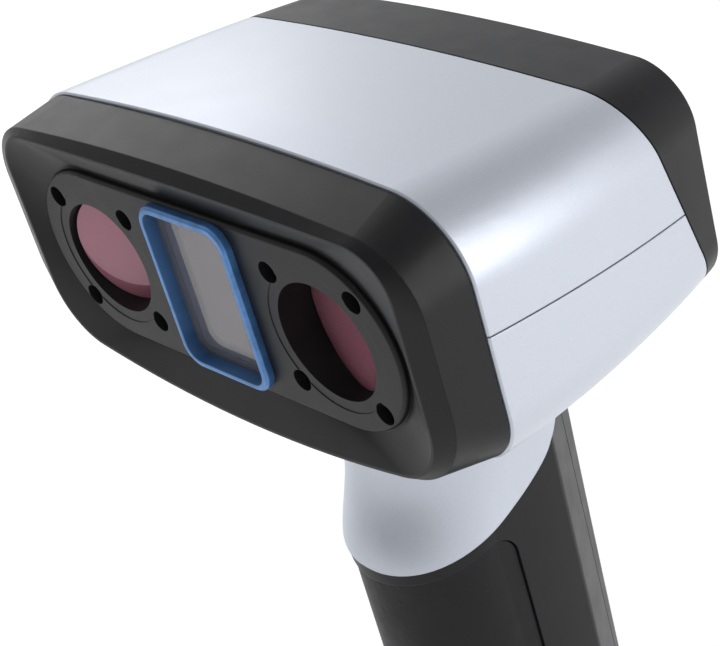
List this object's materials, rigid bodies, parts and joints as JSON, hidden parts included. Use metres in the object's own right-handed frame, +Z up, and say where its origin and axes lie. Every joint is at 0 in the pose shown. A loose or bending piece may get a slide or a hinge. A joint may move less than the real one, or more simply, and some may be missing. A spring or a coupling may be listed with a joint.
{
  "type": "handheld 3d scanner",
  "caption": "Handheld structured-light scanner: wide optical head with toed-in camera windows and a framed projector window on a vertical grip, with rear control keys.",
  "frame": {"origin": "middle of the flat base of the grip", "axes": "+Z up along the grip, -Y the way the lenses look, +X to the right as seen from the front"},
  "size_m": [0.11, 0.0725, 0.2367],
  "materials": {
    "black_plastic": "fine satin moulded texture",
    "gasket_rubber": "smooth dark rubber",
    "silver_paint": "satin silver paint on plastic",
    "fascia_plastic": "gloss black plastic",
    "button_plastic": "soft satin plastic",
    "light_guide": "frosted translucent plastic",
    "blue_anodised": "satin blue anodised metal",
    "window_glass": "coated grey glass",
    "inner_black": "matt black moulding",
    "filter_glass": "pink coated filter glass",
    "coated_glass": "mauve coated inner glass",
    "lens_glass": "coated lens glass",
    "barrel_metal": "black anodised metal",
    "circuit_board": "solder mask",
    "led_body": "clear dome over a yellow phosphor",
    "cast_alloy": "cast and machined alloy",
    "screw_steel": "blackened steel",
    "grip_rubber": "matt rubber with small raised dots",
    "socket_metal": "plated metal",
    "cable_jacket": "smooth cable jacket"
  },
  "bodies": {
    "scanner": {"base_cap": "black_plastic", "base_screws": "screw_steel", "bezel_gasket": "gasket_rubber", "button_board": "circuit_board", "cable_harness": "cable_jacket", "control_fascia": "fascia_plastic", "data_socket": "socket_metal", "fan_frame": "inner_black", "frame_screws": "screw_steel", "front_bezel": "black_plastic", "front_panel": "black_plastic", "grip_board": "circuit_board", "grip_front": "black_plastic", "grip_pad": "grip_rubber", "grip_rear": "black_plastic", "grip_screws": "screw_steel", "heat_sink": "cast_alloy", "laser_modules": "barrel_metal", "left_camera_barrel": "barrel_metal", "left_camera_lens": "lens_glass", "left_filter_glass": "filter_glass", "left_led_board": "circuit_board", "left_leds": "led_body", "left_sensor_board": "circuit_board", "lower_shell": "silver_paint", "main_board": "circuit_board", "neck_collar": "silver_paint", "optical_frame": "cast_alloy", "power_socket": "socket_metal", "projector_body": "inner_black", "projector_filter": "coated_glass", "projector_lens": "lens_glass", "projector_mask": "inner_black", "projector_window": "window_glass", "rear_cap": "black_plastic", "right_camera_barrel": "barrel_metal", "right_camera_lens": "lens_glass", "right_filter_glass": "filter_glass", "right_led_board": "circuit_board", "right_leds": "led_body", "right_sensor_board": "circuit_board", "status_ring": "light_guide", "upper_shell": "silver_paint", "window_frame": "blue_anodised"},
    "scan_button": {"scan_button": "button_plastic"},
    "bright_up_key": {"bright_up_key": "button_plastic"},
    "bright_down_key": {"bright_down_key": "button_plastic"},
    "zoom_in_key": {"zoom_in_key": "button_plastic"},
    "zoom_out_key": {"zoom_out_key": "button_plastic"},
    "fan": {"fan_rotor": "inner_black"}
  },
  "joints": [
    {"name": "scan_press", "type": "slide", "parent": "scanner", "child": "scan_button", "axis": [0, -1, 0], "range_m": [0, 0.0008], "stiffness_N_per_m": 900, "springref_m": -0.0006},
    {"name": "bright_up_press", "type": "slide", "parent": "scanner", "child": "bright_up_key", "axis": [0, -1, 0], "range_m": [0, 0.0008], "stiffness_N_per_m": 900, "springref_m": -0.0006},
    {"name": "bright_down_press", "type": "slide", "parent": "scanner", "child": "bright_down_key", "axis": [0, -1, 0], "range_m": [0, 0.0008], "stiffness_N_per_m": 900, "springref_m": -0.0006},
    {"name": "zoom_in_press", "type": "slide", "parent": "scanner", "child": "zoom_in_key", "axis": [0, -1, 0], "range_m": [0, 0.0008], "stiffness_N_per_m": 900, "springref_m": -0.0006},
    {"name": "zoom_out_press", "type": "slide", "parent": "scanner", "child": "zoom_out_key", "axis": [0, -1, 0], "range_m": [0, 0.0008], "stiffness_N_per_m": 900, "springref_m": -0.0006},
    {"name": "fan_spin", "type": "hinge", "parent": "scanner", "child": "fan", "pos_m": [-0.029, 0.0258, 0.205], "axis": [0, 1, 0], "continuous": true}
  ]
}
